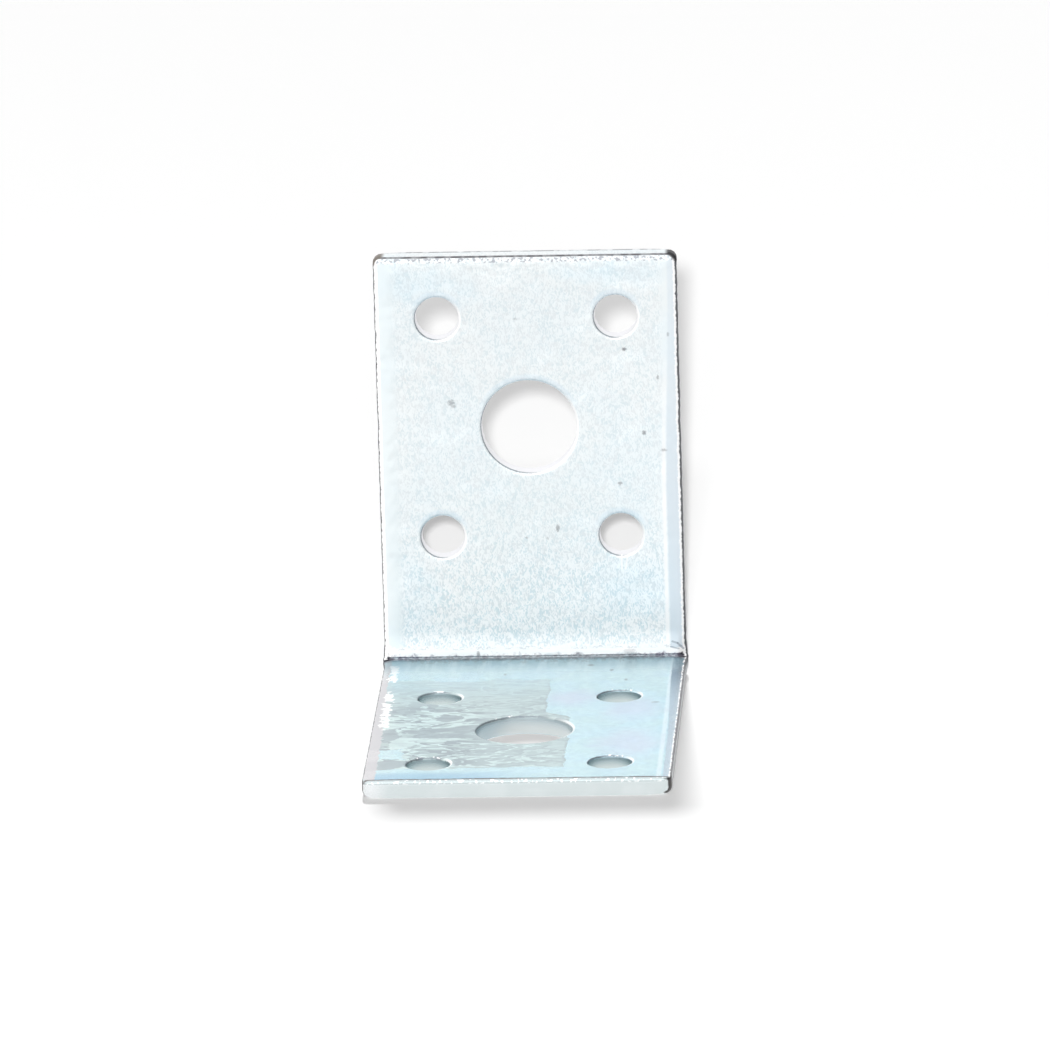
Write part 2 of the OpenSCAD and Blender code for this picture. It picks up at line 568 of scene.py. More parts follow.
def away_from(place, at_u, at_s, half_u, half_s):
    """The distance from a spot on the blank, counted in the spot's own half widths."""
    off = place
    for operation, by in (("SUBTRACT", (at_u, at_s, 0.0)), ("MULTIPLY", (1 / half_u, 1 / half_s, 0.0))):
        off = add(tree_of(place), "ShaderNodeVectorMath", {0: off, 1: by}, operation=operation).outputs[0]
    return add(tree_of(place), "ShaderNodeVectorMath", {0: off}, operation="LENGTH").outputs["Value"]


def stored(tree, name):
    """A number that the mesh keeps at each point."""
    return add(tree, "ShaderNodeAttribute", attribute_name=name).outputs["Fac"]


white = (255, 255, 255)
print("White is", screen_colour(*white))

# %% [markdown]
# ## The zinc
# Bright zinc with a blue passivation is a pale, slightly blue mirror, broken up by the grain of the
# steel under it. Its own marks follow the sheet and not the room, so they are drawn in the coordinates
# of the flat blank, which the mesh keeps at each point. The highlights, shades and reflections that are
# painted among them are drawn there too.

# %% Read the blank's coordinates
plated = bpy.data.materials.new("plated_zinc")
plated.use_nodes = True
tree = plated.node_tree
tree.nodes.clear()
across_mm = stored(tree, "across")
along_mm = stored(tree, "along")
depth_mm = stored(tree, "depth")
inset_mm = stored(tree, "inset")
rim_mm = stored(tree, "rim")
sheet_place = place_at(across_mm, along_mm, depth_mm)
from_side = minus(strip_w / 2, calc("ABSOLUTE", across_mm))
from_front = minus(blank_l, along_mm)
inner_face = ramp(depth_mm, sheet_t * 0.7, sheet_t * 0.8)
on_base = ramp(along_mm, fold_mid - 0.2, fold_mid + 0.2)
on_upright = minus(1.0, on_base)
on_right = ramp(across_mm, -1.0, 1.0)
on_left = minus(1.0, on_right)
print(len(tree.nodes), "nodes")

# %% [markdown]
# ### Grain
# The steel's skin shows through the zinc as fine white flecks on a greyer ground, a third of a
# millimetre apart. The noise is bent by its own distortion, which draws its blobs out into worms, and
# its place is squeezed across the strip and stretched along it, so that the worms lie along the strip.
# The grain is strongest near the fold, and it fades in the base leg, which is mottled instead. A Multiply
# mix then dims the upper part of the upright leg a little and gives a few wide places their blue.

# %% Grain of the sheet
sheet_flat = place_at(across_mm, along_mm)
grain_place = place_at(times(across_mm, 1.35), times(along_mm, 0.7), depth_mm)
grain = noise(grain_place, 3.0, 0.4, 0.5, 1.1)
flecks = ramp(grain, 0.33, 0.63)
fine = noise(sheet_place, 5.5, 1.0, 0.5)
cloud = noise(sheet_place, 0.13, 2.0)
patches = noise(sheet_place, 0.3, 2.0)
tint = noise(sheet_place, 1.1, 1.0)
lower = ramp(along_mm, 26.0, 44.0)
grain_here = times(ramp(lower, 0.0, 1.0, 0.65, 1.0), ramp(from_side, 1.3, 2.6))
grain_here = times(grain_here, ramp(on_base, 0.0, 1.0, 1.0, 0.15))
print(len(tree.nodes), "nodes")

# %% Shades of the zinc
zinc_pale = (247, 252, 253)
zinc_blue = (238, 249, 254)
# The base leg's darker, bluer tone is partly the zinc's own and partly a painted reflection of its bluer
# surroundings.
base_zinc_and_reflection = (194, 221, 225)
fleck_grey = (231, 235, 237)
fleck_blue = (221, 232, 236)
blueness = times(ramp(cloud, 0.42, 0.62), 0.6)
blueness = plus(blueness, times(lower, ramp(patches, 0.4, 0.6, 0.0, 0.35)))
ground = laid_over(blueness, zinc_pale, zinc_blue)
base_tone = laid_over(ramp(patches, 0.4, 0.6), base_zinc_and_reflection, (193, 221, 231))
mottle = noise(sheet_place, 1.2, 3.0, 0.65)
base_tone = laid_over(ramp(mottle, 0.5, 0.4, 0.0, 0.6), base_tone, (184, 212, 222))
base_tone = laid_over(ramp(mottle, 0.5, 0.6, 0.0, 0.6), base_tone, (203, 229, 234))
ground = laid_over(on_base, ground, base_tone)
fleck_dark = laid_over(ramp(tint, 0.4, 0.6), fleck_grey, fleck_blue)
grained = laid_over(flecks, fleck_dark, laid_over(lower, (250, 254, 255), white))
colour = laid_over(times(grain_here, 0.9), ground, grained)
print(len(tree.nodes), "nodes")

# %% Bluer and dimmer places
blue_spots = [
    (-13.6, 40.5, 3.0, 5.0), (12.0, 40.0, 5.5, 4.5), (-13.0, 3.5, 7.0, 3.0), (9.0, 2.2, 6.0, 1.6),
]
blue_places = 0.0
for spot in blue_spots:
    away = plus(away_from(sheet_flat, *spot), times(minus(patches, 0.5), 1.6))
    blue_places = calc("MAXIMUM", blue_places, ramp(away, 1.3, 0.2, 0.0, 0.4))
dimmer = laid_over(ramp(along_mm, 4.0, 24.0), (247, 247, 247), (252, 252, 252))
dimmer = laid_over(lower, dimmer, white)
dimmer = laid_over(ramp(along_mm, 0.3, 0.1), dimmer, (241, 240, 240))
dimmer = laid_over(blue_places, dimmer, (236, 249, 255))
dimmer = laid_over(on_base, dimmer, white)
sockets = {0: 1.0, 6: colour, 7: dimmer}
colour = add(tree, "ShaderNodeMix", sockets, data_type="RGBA", blend_type="MULTIPLY").outputs[2]
print(len(tree.nodes), "nodes")

# %% [markdown]
# ### Bands along the sheared sides
# Along the two long sides the shear burnished a strip about two millimetres wide. It has no grain. A
# painted highlight runs along its inner border, and a thin broken one runs along the very edge, the nose.
# On the base leg the left band widens towards the front and the right one narrows, and bright blobs lie
# where the left band meets the stain. The base leg's bands are tinted as painted reflections: pinkish
# grey on the left and grey-blue on the right, darkest near the fold.

# %% Bands along the upright leg's sides
raggedness = noise(sheet_place, 1.3, 3.0, 0.6)
waver = minus(raggedness, 0.5)
band_edge = plus(from_side, times(waver, 0.25))
on_sheet = times(inner_face, on_upright)
left_band = times(ramp(band_edge, 2.8, 1.7), on_left, on_sheet)
band_width = ramp(along_mm, 2.0, 30.0, 1.15, 1.85)
past_band = minus(band_edge, band_width)
right_band = times(ramp(past_band, 0.15, -0.2), on_right, on_sheet)
colour = laid_over(times(left_band, 0.6), colour, (234, 241, 243))
# Painted highlight along the inner border of the left band.
left_painted_highlight = times(ramp(band_edge, 0.62, 0.45), left_band)
colour = laid_over(left_painted_highlight, colour, white)
down = ramp(along_mm, 6.0, 34.0)
# Painted highlight along the inner border of the right band.
glow = times(strip_at(past_band, 0.15, 0.3, 0.35), on_right, on_sheet, down)
colour = laid_over(glow, colour, white)
band_share = times(right_band, ramp(down, 0.0, 1.0, 0.6, 0.9))
colour = laid_over(band_share, colour, (223, 232, 239))
print(len(tree.nodes), "nodes")

# %% Bands along the base leg's sides
base_sheet = times(inner_face, on_base)
beyond = minus(along_mm, fold_end)
wild_edge = plus(from_side, times(waver, 0.9))
left_width = ramp(beyond, 4.0, 40.0, 0.9, 1.5)
base_left = times(ramp(minus(left_width, wild_edge), -0.06, 0.06), on_left, base_sheet)
right_width = ramp(beyond, 4.0, 36.0, 1.5, 1.0)
base_right = times(ramp(minus(right_width, band_edge), -0.08, 0.08), on_right, base_sheet)
ragged = plus(beyond, times(waver, 6.0))
blobs = calc("MAXIMUM", strip_at(ragged, 2.2, 8.4, 0.4), strip_at(ragged, 13.4, 26.5, 0.8))
blob_edge = plus(from_side, times(waver, 1.8))
blob_noise = ramp(noise(sheet_place, 0.8, 1.0), 0.36, 0.42)
blobs = times(blobs, on_left, base_sheet, strip_at(blob_edge, 0.95, 1.75, 0.12), blob_noise)
# Painted highlight, fainter, along the base leg's right band.
glow = times(strip_at(band_edge, 1.35, 1.6, 0.3), on_right, base_sheet, 0.4)
colour = laid_over(glow, colour, white)
# Painted reflection and shade: the base leg's right band is grey-blue and darkest by the fold.
painted_band_shade = laid_over(ramp(beyond, 1.0, 18.0), (130, 148, 163), (189, 204, 214))
colour = laid_over(base_right, colour, painted_band_shade)
print(len(tree.nodes), "nodes")

# %% Lilac and blue places on the base leg
lilac_spots = [(12.3, 34.0, 4.5, 7.0), (12.0, 20.5, 4.0, 6.0), (5.0, 16.0, 4.0, 4.0)]
blush = 0.0
for at_u, past, half_u, half_s in lilac_spots:
    away = plus(away_from(sheet_flat, at_u, fold_end + past, half_u, half_s), minus(patches, 0.5))
    blush = calc("MAXIMUM", blush, ramp(away, 1.2, 0.2, 0.0, 0.55))
blush = times(blush, base_sheet)
colour = laid_over(blush, colour, (210, 212, 231))
front_blue = times(ramp(from_front, 3.6, 1.6), base_sheet, ramp(across_mm, 4.0, -8.0), 0.8)
colour = laid_over(front_blue, colour, (161, 196, 217))
print(len(tree.nodes), "nodes")

# %% [markdown]
# ### The stain on the base leg
# Something once dried on the base leg and left a grey film, two thirds as wide as the leg. It dried in
# steps, so it is made of flat shades with pale tide marks between them. A noise, stretched across the
# strip and cut into steps, gives such nested shapes, and each step takes a shade of its own. A broader
# noise and a few puddles make larger flat places, and thin pale curls lie in front of the bolt hole.

# %% Outline of the stain
wide_place = place_at(times(across_mm, 0.42), along_mm, 4.0)
swerve = times(minus(noise(wide_place, 0.5, 3.0, 0.6), 0.5), 6.0)
stain_right = plus(ramp(beyond, 21.0, 24.0, 2.2, 5.2), times(swerve, 0.22))
past_right = minus(stain_right, across_mm)
wavy_beyond = plus(beyond, swerve)
stain = times(ramp(past_right, 0.0, 0.12), ramp(wavy_beyond, 8.0, 8.4))
front_limit = plus(beyond, times(swerve, 0.4))
stain = times(stain, ramp(front_limit, 43.4, 43.1))
pocket_edge = plus(across_mm, swerve)
pocket = times(ramp(pocket_edge, -13.0, -13.3), strip_at(wavy_beyond, 35.6, 39.4, 0.2))
stain = times(stain, minus(1.0, pocket), base_sheet)
film = times(stain, ramp(wavy_beyond, 8.0, 18.0, 0.5, 1.0))
print(len(tree.nodes), "nodes")

# %% Shades and tide marks in the stain
def tide_marks(value, first, last, shades):
    """Flat shades in even steps from first to last, with nothing between one and the next."""
    made = add(tree_of(value), "ShaderNodeValToRGB", {"Fac": value})
    made.color_ramp.interpolation = "CONSTANT"
    stops = made.color_ramp.elements
    for number, shade in enumerate(shades):
        place = first + (last - first) * number / (len(shades) - 1)
        stop = stops[number] if number < 2 else stops.new(place)
        stop.position = place
        stop.color = screen_colour(*shade)
    return made.outputs[0]


grey = (169, 179, 184)
middle = (192, 205, 205)
clear = (216, 230, 229)
marks_noise = noise(wide_place, 0.36, 3.2, 0.62, 0.35)
shades = [middle, clear, middle, grey, clear, middle, grey, clear, middle]
film_colour = tide_marks(marks_noise, 0.26, 0.7, shades)
broad = noise(wide_place, 0.22, 3.0, 0.55, 0.5)
film_colour = laid_over(ramp(broad, 0.585, 0.59, 0.0, 0.75), film_colour, grey)
film_colour = laid_over(ramp(broad, 0.405, 0.4, 0.0, 0.7), film_colour, clear)
print(len(tree.nodes), "nodes")

# %% Puddles, quiet places and curls in the stain
puddles = [
    (-15.0, 41.6, 2.3, 1.8), (-5.4, 40.6, 1.9, 1.8), (-15.4, 30.0, 1.1, 2.8), (-10.4, 30.2, 1.9, 1.3),
    (-12.8, 19.2, 1.1, 2.0), (-9.0, 24.0, 1.3, 1.6), (-4.6, 35.4, 1.6, 1.0),
]
for at_u, past, half_u, half_s in puddles:
    away = plus(away_from(sheet_flat, at_u, fold_end + past, half_u, half_s), times(swerve, 0.6))
    film_colour = laid_over(ramp(away, 1.0, 0.94, 0.0, 0.8), film_colour, grey)
quiet = laid_over(0.6, film_colour, (194, 206, 207))
to_right = ramp(plus(across_mm, swerve), -7.0, -4.0)
at_back = ramp(wavy_beyond, 21.0, 17.0)
film_colour = laid_over(calc("MAXIMUM", to_right, at_back), film_colour, quiet)
colour = laid_over(film, colour, film_colour)
curls = strip_at(marks_noise, 0.485, 0.515, 0.01)
curls = times(curls, film, strip_at(across_mm, -6.0, 3.5, 1.0), ramp(beyond, 28.0, 32.0), 0.9)
colour = laid_over(curls, colour, clear)
tide_line = times(strip_at(past_right, 0.05, 0.2, 0.2), film, ramp(tint, 0.4, 0.6), 0.5)
colour = laid_over(tide_line, colour, (172, 181, 185))
# Painted reflection: the base leg's left band in pinkish grey.
colour = laid_over(base_left, colour, (207, 206, 209))
colour = laid_over(blobs, colour, white)
print(len(tree.nodes), "nodes")

# %% [markdown]
# ### The fold, the ends and the cut faces
# Inside the fold lies a dark line of painted shade, with a white rim of painted highlight above it and a
# soft painted shade below it. The line isn't even: pale and dark flakes of the skin stand in it, and grey
# crumbs lie under it. At the two ends of the strip the shear left a row of tiny beads beside a dark line,
# and their shine is painted as white dots. The cut faces of the long sides are plated in the middle and
# dark at their two rims, partly as a barer cut and partly as painted shade. The cut faces of the ends are
# plated but dull.

# %% Painted highlight and shade beside the fold
at_fold = minus(along_mm, fold_start)
coarse = minus(noise(sheet_place, 2.4, 2.0, 0.6), 0.5)
blotch = noise(sheet_flat, 0.9, 3.0, 0.6)
rough_fold = plus(at_fold, times(coarse, 0.9), times(minus(blotch, 0.5), 1.6))
# Painted highlight: a white rim above the fold's line of shade.
painted_fold_highlight = times(strip_at(rough_fold, -0.9, -0.5, 0.4), on_sheet, 0.8, minus(1.0, right_band))
colour = laid_over(painted_fold_highlight, colour, white)
thin_line = times(strip_at(rough_fold, -0.82, -0.74, 0.1), on_sheet, ramp(tint, 0.4, 0.6, 0.0, 0.4))
colour = laid_over(thin_line, colour, (186, 192, 198))
# Painted highlight over the upper part of the fold's curve.
above = times(strip_at(at_fold, -0.6, 0.5, 0.1), on_sheet)
colour = laid_over(above, colour, white)
long_place = place_at(across_mm, times(along_mm, 0.12))
# Painted shade on the base leg just in front of the fold.
shade_below = times(ramp(beyond, 8.0, -0.5), base_sheet, 0.72)
colour = laid_over(shade_below, colour, (147, 177, 188))
streaks = ramp(noise(long_place, 0.9, 4.0, 0.65), 0.4, 0.66, 0.0, 0.45)
streaks = times(ramp(beyond, 10.0, 1.0), base_sheet, streaks)
colour = laid_over(streaks, colour, (213, 230, 234))
print(len(tree.nodes), "nodes")

# %% The line of painted shade in the fold
near_end = plus(ramp(from_side, 8.0, 2.0), coarse)
last_bit = ramp(from_side, 1.1, 0.6)
fold_shade_strength = times(ramp(tint, 0.35, 0.6, 0.35, 1.0), inner_face)
# Painted shade: a grey strip in the lower part of the fold.
lower_part = times(strip_at(rough_fold, 0.5, 2.3, 0.4), inner_face)
painted_fold_grey = laid_over(ramp(blotch, 0.4, 0.6), (150, 156, 166), (196, 200, 205))
colour = laid_over(times(lower_part, 0.85), colour, painted_fold_grey)
# Painted shade: the dark line in the fold's inner corner, darkest at its two ends.
fold_shade_line = times(strip_at(rough_fold, 0.3, 1.4, 0.5), fold_shade_strength)
fold_shade_line = calc("MAXIMUM", fold_shade_line, times(strip_at(at_fold, 0.6, 1.8, 0.5), last_bit, inner_face))
fold_shade_colour = laid_over(near_end, (176, 176, 180), (130, 124, 142))
fold_shade_colour = laid_over(last_bit, fold_shade_colour, (54, 55, 61))
colour = laid_over(fold_shade_line, colour, fold_shade_colour)
print(len(tree.nodes), "nodes")

# %% Flakes along the dark line
flake_place = place_at(times(across_mm, 1.3), times(along_mm, 0.55), 2.0)
flake_noise = noise(flake_place, 1.5, 3.0, 0.65)
in_line = times(strip_at(rough_fold, 0.3, 2.4, 0.3), inner_face, ramp(from_side, 0.8, 1.4))
pale_flakes = times(ramp(flake_noise, 0.48, 0.58), in_line, 0.8)
colour = laid_over(pale_flakes, colour, (212, 220, 224))
dark_flakes = times(ramp(flake_noise, 0.46, 0.38), in_line, 0.4)
colour = laid_over(dark_flakes, colour, (118, 120, 132))
crumbs_edge = plus(beyond, times(minus(flake_noise, 0.5), 7.0))
crumbs = times(ramp(crumbs_edge, 0.9, 0.3), ramp(beyond, 2.6, 0.8), base_sheet, 0.4)
crumbs = times(crumbs, ramp(from_side, 1.5, 4.0))
colour = laid_over(crumbs, colour, (150, 162, 165))
print(len(tree.nodes), "nodes")

# %% Beads and lines along the upright leg's end
bead_noise = noise(sheet_place, 3.4, 0.0)
beads = ramp(bead_noise, 0.52, 0.66)
pits = ramp(bead_noise, 0.44, 0.34)
from_top = plus(along_mm, times(coarse, 0.5))
top_beads = times(strip_at(from_top, 0.34, 0.8, 0.12), inner_face)
colour = laid_over(times(top_beads, pits, 0.7), colour, (160, 160, 170))
# Painted glints: white dots on the beads along the top end.
colour = laid_over(times(top_beads, beads, 0.8), colour, white)
on_nose = ramp(depth_mm, sheet_t - 0.6, sheet_t - 0.5)
top_line = times(strip_at(along_mm, 0.11, 0.24, 0.07), on_nose, ramp(tint, 0.35, 0.6, 0.7, 1.0))
colour = laid_over(top_line, colour, (112, 110, 114))
far_line = times(ramp(along_mm, 0.2, 0.1), strip_at(depth_mm, 0.15, 0.5, 0.2))
far_line = times(far_line, ramp(tint, 0.38, 0.54, 0.2, 0.8))
colour = laid_over(far_line, colour, (122, 122, 128))
print(len(tree.nodes), "nodes")

# %% End face, beads and line of the base leg
end_reach = ramp(depth_mm, 0.3, 0.8, 0.8, 0.27)
end_face = times(ramp(minus(inset_mm, end_reach), 0.04, -0.04), ramp(from_front, 1.2, 1.0))
end_colour = laid_over(ramp(patches, 0.4, 0.6), (215, 224, 225), (220, 228, 229))
# Painted highlight on the left-hand rounded corner of the front end.
end_colour = laid_over(ramp(across_mm, -14.0, -16.6, 0.0, 0.7), end_colour, (246, 248, 250))
end_colour = laid_over(times(on_nose, 0.8), end_colour, (196, 207, 209))
colour = laid_over(end_face, colour, end_colour)
dots = ramp(noise(sheet_place, 2.8, 0.0), 0.56, 0.64)
# Painted glints: white dots on the beads along the front end.
front_bead_glints = times(strip_at(from_front, 0.02, 0.2, 0.05), on_nose, dots)
colour = laid_over(times(front_bead_glints, 0.9), colour, white)
front_line = times(strip_at(from_front, 0.26, 0.46, 0.08), inner_face, ramp(tint, 0.35, 0.6, 0.6, 1.0))
colour = laid_over(front_line, colour, (130, 126, 128))
print(len(tree.nodes), "nodes")

# %% Painted highlight on the noses, and dark cut sides with painted shade
def inside_corner(from_side, from_face, radius):
    """How far in from a rounded corner a point lies: radius - the length of what is left to its centre."""
    left = calc("MAXIMUM", minus(radius, from_side), 0.0)
    down = calc("MAXIMUM", minus(radius, from_face), 0.0)
    length = calc("SQRT", plus(times(left, left), times(down, down)))
    return minus(radius, length)


# Painted highlight along the noses, the very edges of the inner face.
shine_edge = plus(from_side, times(coarse, 0.5))
shine_end = ramp(on_base, 0.0, 1.0, 0.4, 0.27)
painted_nose_highlight = times(ramp(shine_edge, 0.02, 0.12), ramp(minus(shine_edge, shine_end), 0.1, 0.0))
painted_nose_highlight = times(painted_nose_highlight, inner_face, calc("MAXIMUM", on_upright, times(on_right, ramp(tint, 0.34, 0.5))))
colour = laid_over(painted_nose_highlight, colour, white)
# The cut sides are dark partly as a barer cut and partly as painted shade. The shade is wider and darker on
# the right, the side away from the light, and the heel beside them is painted dark too.
cut_reach = plus(ramp(on_right, 0.0, 1.0, 0.12, 0.2), times(coarse, 0.35))
shaded_cut_side = ramp(minus(cut_reach, from_side), -0.03, 0.03)
in_heel = inside_corner(from_side, depth_mm, side_heel_r)
on_heel = times(ramp(in_heel, 0.12, 0.04), ramp(from_side, 0.85, 0.55))
shaded_cut_side = calc("MAXIMUM", shaded_cut_side, on_heel)
cut_and_shade_colour = laid_over(fine, (96, 98, 102), (150, 152, 156))
plated_cut = laid_over(fine, (172, 177, 181), (206, 210, 212))
mid_cut = times(strip_at(depth_mm, 0.95, 1.45, 0.25), ramp(from_side, 0.05, 0.01))
cut_and_shade_colour = laid_over(mid_cut, cut_and_shade_colour, plated_cut)
colour = laid_over(shaded_cut_side, colour, cut_and_shade_colour)
print(len(tree.nodes), "nodes")

# %% [markdown]
# The two ends of the strip show their outline in another way: seen from the front, each end is a bar
# with round corners, and a line of painted shade runs round its right-hand corners and, much finer,
# round its left-hand ones. The next cell measures how far in from that bar's outline each point lies.

# %% Dark corners of the two ends
from_inner = minus(sheet_t - side_dip[1], depth_mm)
bar = calc("MINIMUM", in_heel, inside_corner(from_side, plus(from_inner, 0.25), 0.6))
bar = minus(bar, times(coarse, 0.25))
bar_width = ramp(on_right, 0.0, 1.0, 0.12, 0.4)
outline = ramp(minus(bar, bar_width), 0.06, -0.06)
near_corner = times(ramp(from_side, 1.0, 0.7), ramp(inset_mm, 0.36, 0.28), ramp(from_inner, 0.06, 0.14))
# Painted shade round the corners of the front end.
front_corner_shade = times(outline, near_corner, ramp(from_front, 1.7, 1.1))
colour = laid_over(front_corner_shade, colour, (84, 82, 82))
# Painted shade round the corners of the top end, darker on the right.
top_width = ramp(on_right, 0.0, 1.0, 0.4, 0.75)
top_corner_shade = ramp(minus(inset_mm, times(top_width, 0.6)), 0.05, -0.05)
top_corner_shade = times(top_corner_shade, ramp(plus(from_side, along_mm), 1.5, 0.9))
corner_shade_colour = laid_over(on_right, (134, 128, 122), (72, 72, 74))
top_reach = minus(ramp(on_right, 0.0, 1.0, 0.55, 1.1), from_side)
top_end_shade = times(ramp(top_reach, -0.2, 0.2), ramp(along_mm, 0.9, 0.5), ramp(inset_mm, 0.2, 0.1))
top_corner_shade = calc("MAXIMUM", top_corner_shade, top_end_shade)
colour = laid_over(top_corner_shade, colour, corner_shade_colour)
print(len(tree.nodes), "nodes")

# %% [markdown]
# ### The rims of the holes
# Each rim is rounded where the punch dragged it down. A painted highlight lies on the side of each rim
# that faces the light and a fine line of painted shade on the other side, and painted glints dot the far
# side of the base leg's rims. The mesh keeps the direction round the nearest hole for this.

# %% Rims of the holes
rim_right = stored(tree, "rim_right")
rim_down = stored(tree, "rim_down")
lit_side = plus(times(rim_right, 0.85), times(rim_down, 0.5))
halo = times(strip_at(rim_mm, 0.2, 0.5, 0.5), ramp(rim_down, -0.1, -0.8), on_sheet, 0.35)
colour = laid_over(halo, colour, (212, 230, 242))
rough_rim = plus(rim_mm, times(minus(fine, 0.5), 0.12))
# Painted highlight on the lit side of each rim.
painted_rim_highlight = times(ramp(lit_side, 0.1, 0.7), strip_at(rough_rim, 0.04, 0.26, 0.06), inner_face)
colour = laid_over(painted_rim_highlight, colour, white)
# Painted shade: a fine dark line on the other side of each rim.
dark_side = minus(times(rim_down, ramp(on_base, 0.0, 1.0, 0.45, -0.8)), times(rim_right, 0.8))
painted_rim_shade = times(ramp(dark_side, 0.1, 0.7), strip_at(rough_rim, 0.02, 0.08, 0.05), 0.75)
rim_top = ramp(depth_mm, sheet_t - 0.32, sheet_t - 0.22)
colour = laid_over(times(painted_rim_shade, rim_top), colour, (128, 138, 148))
# Painted glints on the far side of the base leg's rims.
painted_rim_glints = times(strip_at(rim_mm, 0.08, 0.25, 0.05), ramp(rim_down, -0.7, -0.9), base_sheet, dots)
colour = laid_over(times(painted_rim_glints, ramp(tint, 0.42, 0.52)), colour, white)
print(len(tree.nodes), "nodes")

# %% Walls of the holes
in_hole = times(ramp(rim_mm, 0.02, 0.0), ramp(depth_mm, sheet_t - 0.25, sheet_t - 0.4))
in_bolt = ramp(calc("ABSOLUTE", across_mm), bolt_r + 0.6, bolt_r + 0.4)
down_wall = ramp(depth_mm, sheet_t - 0.4, 0.6)
# The walls' tones are painted. Painted shade darkens the base leg's walls towards the inner face and on the
# left of the bolt hole, and the upright leg's walls are a near-white painted reflection of the bright tent.
screw_wall_shading = laid_over(down_wall, (182, 197, 203), (214, 225, 225))
bolt_wall_shading = laid_over(down_wall, (192, 205, 210), (212, 220, 221))
bolt_wall_shading = laid_over(ramp(rim_right, -0.2, -0.9, 0.0, 0.6), bolt_wall_shading, (152, 176, 186))
wall_shading_colour = laid_over(in_bolt, screw_wall_shading, bolt_wall_shading)
wall_shading_colour = laid_over(on_base, (236, 236, 239), wall_shading_colour)
colour = laid_over(in_hole, colour, wall_shading_colour)
print(len(tree.nodes), "nodes")

# %% [markdown]
# ### Specks and scratches
# A few dark specks, where the zinc didn't take, and a few scratches lie where they lie on the real
# bracket. Each speck is a short list: where it is across and along the strip, its half widths across
# and along, and how dark it is. Each scratch is a line from one place to another.

# %% Specks
specks = [
    (-8.9, 17.5, 0.5, 0.45, 0.45), (-8.6, 17.9, 0.3, 0.25, 0.4), (11.2, 11.4, 0.3, 0.28, 0.7),
    (13.25, 21.4, 0.32, 0.3, 0.6), (10.35, 27.4, 0.3, 0.3, 0.5), (3.0, 32.7, 0.25, 0.5, 0.55),
    (15.0, 14.8, 0.18, 0.3, 0.5), (15.5, 23.5, 0.4, 0.2, 0.4), (-1.25, 7.6, 0.3, 0.18, 0.25),
    (16.75, fold_start + 1.4, 0.45, 0.9, 0.95), (-16.6, fold_start + 1.5, 0.5, 0.7, 0.7),
    (-0.6, 33.8, 0.2, 0.2, 0.35), (1.8, 33.9, 0.18, 0.2, 0.3), (16.3, 9.7, 0.2, 0.3, 0.35),
]
base_specks = [
    (6.55, 2.6, 0.45, 0.5, 0.5), (9.05, 4.7, 0.25, 0.5, 0.6), (10.85, 8.7, 0.25, 0.5, 0.5),
    (14.6, 17.9, 0.6, 0.3, 0.5), (-3.2, 6.0, 0.2, 0.5, 0.4), (10.9, -2.8, 1.0, 0.5, 0.3),
    (-6.6, -2.6, 0.25, 0.6, 0.5),
]
specks += [(at_u, fold_end + past, *rest) for at_u, past, *rest in base_specks]
dark = 0.0
for at_u, at_s, half_u, half_s, how_dark in specks:
    away = plus(away_from(sheet_flat, at_u, at_s, half_u, half_s), times(minus(fine, 0.5), 1.2))
    dark = calc("MAXIMUM", dark, ramp(away, 1.2, 0.3, 0.0, how_dark))
dark = times(dark, inner_face)
colour = laid_over(dark, colour, (100, 98, 106))
print(len(tree.nodes), "nodes")

# %% Scratches
def scratch(across_mm, along_mm, start, end, half_width):
    """1 on a line from start to end, 0 beyond half_width from it.

    The nearest place on the line is start + t (end - start), with t = the way along it, held to 0..1.
    """
    run_u, run_s = end[0] - start[0], end[1] - start[1]
    length = run_u ** 2 + run_s ** 2
    off_u = minus(across_mm, start[0])
    off_s = minus(along_mm, start[1])
    t = plus(times(off_u, run_u / length), times(off_s, run_s / length))
    t = add(tree, "ShaderNodeClamp", {"Value": t}).outputs[0]
    off_u = minus(off_u, times(t, run_u))
    off_s = minus(off_s, times(t, run_s))
    gap = calc("SQRT", plus(times(off_u, off_u), times(off_s, off_s)))
    return ramp(gap, half_width, half_width * 0.4)


bright_lines = [((10.3, 36.1), (10.3, 37.6), 0.14), ((11.0, 36.1), (10.75, 37.6), 0.13)]
dark_lines = [((15.9, fold_start - 1.35), (16.5, fold_start - 1.15), 0.16),
              ((16.5, fold_start - 1.15), (17.1, fold_start - 0.45), 0.16),
              ((15.7, fold_start - 0.75), (16.6, fold_start - 0.5), 0.13)]
bright = 0.0
for start, end, half_width in bright_lines:
    bright = calc("MAXIMUM", bright, scratch(across_mm, along_mm, start, end, half_width))
colour = laid_over(times(bright, on_sheet), colour, white)
for start, end, half_width in dark_lines:
    line = scratch(across_mm, along_mm, start, end, half_width)
    colour = laid_over(times(line, on_sheet, 0.5), colour, (130, 144, 156))
print(len(tree.nodes), "nodes")

# %% Finish the zinc material
height = times(plus(flecks, times(fine, 0.3)), grain_here)
grain_bump = add(tree, "ShaderNodeBump", {"Strength": 0.3, "Distance": 0.02 * MM, "Height": height})
rough = ramp(along_mm, 34.0, 46.0, 0.36, 0.6)
rough = calc("MAXIMUM", times(rough, on_upright), ramp(beyond, 5.0, 0.5, 0.27, 0.5))
rough = plus(rough, times(film, 0.1))
rough = plus(rough, times(shaded_cut_side, 0.15))
zinc = add(tree, "ShaderNodeBsdfPrincipled", {
    "Base Color": colour, "Metallic": 1.0, "Roughness": rough, "Normal": grain_bump.outputs[0],
})
add(tree, "ShaderNodeOutputMaterial", {"Surface": zinc.outputs[0]})
skin.materials.append(plated)
print("The bracket's material has", len(tree.nodes), "nodes")

